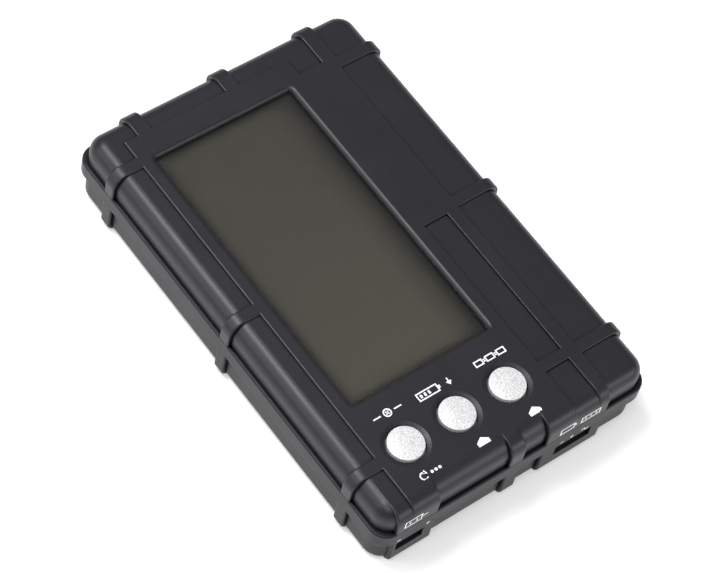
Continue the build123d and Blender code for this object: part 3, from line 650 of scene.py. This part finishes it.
def cycle_label(side):
    """Change of mode: three dots and an open ring with an arrowhead."""
    centre = BUTTON_CENTRES[side]
    shift_x, shift_y = 0.3 * MM, -8.4 * MM
    ring_x, ring_radius, ring_start, ring_sweep = -1.7 * MM, LABEL_HALF * 0.95, 40.0, 280.0
    tip, base, head_half = (-0.6 * MM, 0.1 * MM), (-1.35 * MM, 0.95 * MM), 0.5 * MM
    first_dot, dot_pitch, dot_radius, dot_stroke = 0.5 * MM, 1.05 * MM, 0.2 * MM, 0.36 * MM
    mark = Mark("label_cycle", on_top(centre.x + shift_x, centre.y + shift_y))
    mark.arc((ring_x, 0), ring_radius, STROKE, start=ring_start, sweep=ring_sweep)
    mark.head(tip, base, head_half)
    for step in range(3):
        mark.arc((first_dot + step * dot_pitch, 0), dot_radius, dot_stroke, parts=16)
    mark.finish()


def polarity(mark, x, y, plus):
    """A plus or a minus sign."""
    reach = 0.5 * MM
    mark.bar((x - reach, y), (x + reach, y), SIGN_STROKE)
    if plus:
        mark.bar((x, y - reach), (x, y + reach), SIGN_STROKE)


def battery_port_label():
    """A two-pin plug over the battery port, with its polarity."""
    plug_low, plug_high = (-2.7 * MM, 1.6 * MM), (1.7 * MM, 3.9 * MM)
    pin_foot, pin_top = 2.2 * MM, 3.3 * MM
    wire_start, wire_end, wire_y = 1.9 * MM, 3.4 * MM, 2.75 * MM
    mark = Mark("label_battery_port", on_near_end(middle("battery_socket").x, BASE_HIGH.z))
    mark.frame(plug_low, plug_high, STROKE)
    for x in (-1.4 * MM, 0.4 * MM):
        mark.bar((x, pin_foot), (x, pin_top), STROKE)
    mark.bar((wire_start, wire_y), (wire_end, wire_y), STROKE)
    polarity(mark, 4.6 * MM, -3.0 * MM, True)
    polarity(mark, -3.3 * MM, -3.4 * MM, False)
    mark.finish()


def receiver_port_label():
    """A cell and a three-pin plug over the receiver port, with the pins' signs."""
    foot, top = 1.4 * MM, 3.4 * MM
    cell_left, cell_right = -5.4 * MM, -1.6 * MM
    cap_x, cap_foot, cap_top, cap_stroke = -1.1 * MM, 2.1 * MM, 2.7 * MM, STROKE * 1.4
    plug_left, plug_right = 0.6 * MM, 5.8 * MM
    middle_pin, pin_pitch, pin_foot, pin_top = 3.2 * MM, 1.5 * MM, 1.95 * MM, 2.85 * MM
    wave_y, wave_radius = -3.3 * MM, 0.45 * MM
    mark = Mark("label_receiver_port", on_near_end(middle("receiver_socket").x, BASE_HIGH.z))
    mark.frame((cell_left, foot), (cell_right, top), STROKE)
    mark.bar((cap_x, cap_foot), (cap_x, cap_top), cap_stroke)
    mark.frame((plug_left, foot), (plug_right, top), STROKE)
    for step in (-1, 0, 1):
        x = middle_pin + step * pin_pitch
        mark.bar((x, pin_foot), (x, pin_top), STROKE)
    polarity(mark, -3.6 * MM, -3.5 * MM, False)
    polarity(mark, -0.8 * MM, -3.4 * MM, True)
    for x, start in ((2.5 * MM, 0.0), (3.4 * MM, 180.0)):
        mark.arc((x, wave_y), wave_radius, SIGN_STROKE, start=start, sweep=180.0, parts=12)
    mark.finish()


# Each arrow stands a little to the right of its button
ARROW_SHIFTS = {"middle": 0.7 * MM, "right": 1.05 * MM}
for side, shift in ARROW_SHIFTS.items():
    house_mark("arrow_mark_" + side, BUTTON_CENTRES[side].x + shift)
cross_label("left")
discharge_label("middle")
balance_label("right")
cycle_label("left")
battery_port_label()
receiver_port_label()

# ---------------------------------------------------------------- floor and light
FLOOR_HALF = 3.0
FLOOR_GAP = 0.1 * MM
WORLD_STRENGTH = 0.32
# Each softbox: place, width and height in metres, and power in watts
SOFTBOXES = {
    "key_softbox": ((-0.16, 0.28, 0.72), (0.3, 0.3), 4.2),
    "fill_softbox": ((-0.35, -0.25, 0.9), (0.6, 0.6), 3.5),
    "left_softbox": ((-0.6, 0.29, 0.44), (0.3, 0.6), 1.6),
    "front_softbox": ((0.34, -0.66, 0.3), (0.6, 0.25), 2.0),
}
LIGHT_AIM = Vector((0.0, 0.0, 10.0 * MM))


def add_floor():
    """A wide white floor just under the case."""
    data = bpy.data.meshes.new("floor")
    corners = [(-1, -1), (1, -1), (1, 1), (-1, 1)]
    z = BASE_LOW.z - FLOOR_GAP
    data.from_pydata([(x * FLOOR_HALF, y * FLOOR_HALF, z) for x, y in corners], [], [(0, 1, 2, 3)])
    data.materials.append(floor_paper())
    floor = bpy.data.objects.new("floor", data)
    bpy.context.scene.collection.objects.link(floor)


def add_softbox(name, place, size, power):
    """A rectangular softbox aimed at the middle of the case."""
    data = bpy.data.lights.new(name, "AREA")
    data.shape = "RECTANGLE"
    data.size, data.size_y = size
    data.energy = power
    light = bpy.data.objects.new(name, data)
    bpy.context.scene.collection.objects.link(light)
    light.location = place
    light.rotation_euler = (LIGHT_AIM - Vector(place)).to_track_quat("-Z", "Y").to_euler()


def add_world():
    """An even white surround."""
    world = bpy.data.worlds.new("studio")
    bpy.context.scene.world = world
    world.use_nodes = True
    background = world.node_tree.nodes["Background"]
    background.inputs["Color"].default_value = (1.0, 1.0, 1.0, 1.0)
    background.inputs["Strength"].default_value = WORLD_STRENGTH


add_floor()
add_world()
for softbox, (place, size, power) in SOFTBOXES.items():
    add_softbox(softbox, place, size, power)

bpy.context.scene.view_settings.view_transform = "Standard"
